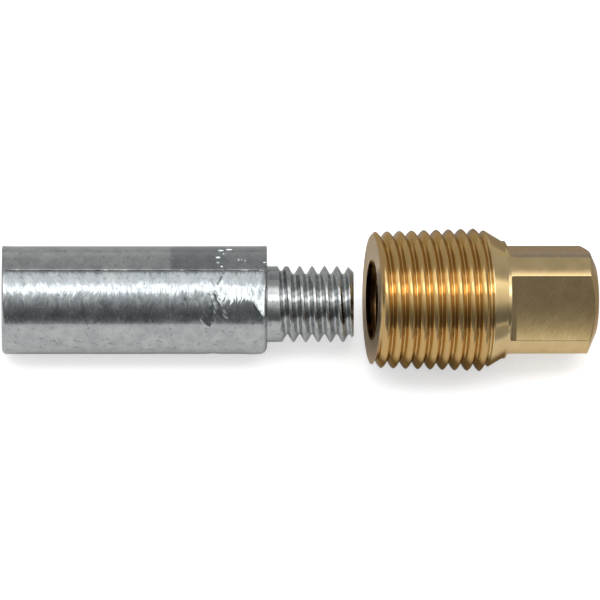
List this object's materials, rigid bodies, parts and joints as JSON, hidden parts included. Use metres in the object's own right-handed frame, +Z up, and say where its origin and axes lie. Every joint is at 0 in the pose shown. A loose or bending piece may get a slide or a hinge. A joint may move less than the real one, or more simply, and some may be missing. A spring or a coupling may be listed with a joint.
{
  "type": "pencil anode with pipe plug",
  "caption": "Sacrificial zinc pencil with a threaded stub, lying beside the square-head brass pipe plug whose threaded socket holds it.",
  "frame": {"origin": "on the floor, under the middle of the box around both pieces as they lie", "axes": "+X from the pencil's plain end towards the plug's square head, +Z up"},
  "size_m": [0.0874, 0.0216, 0.0222],
  "materials": {
    "zinc": "as-cast zinc with a machined stub",
    "brass": "turned brass, head flats with brushed scratches"
  },
  "bodies": {
    "root": {"zinc_pencil": "zinc", "brass_plug": "brass"}
  },
  "joints": []
}
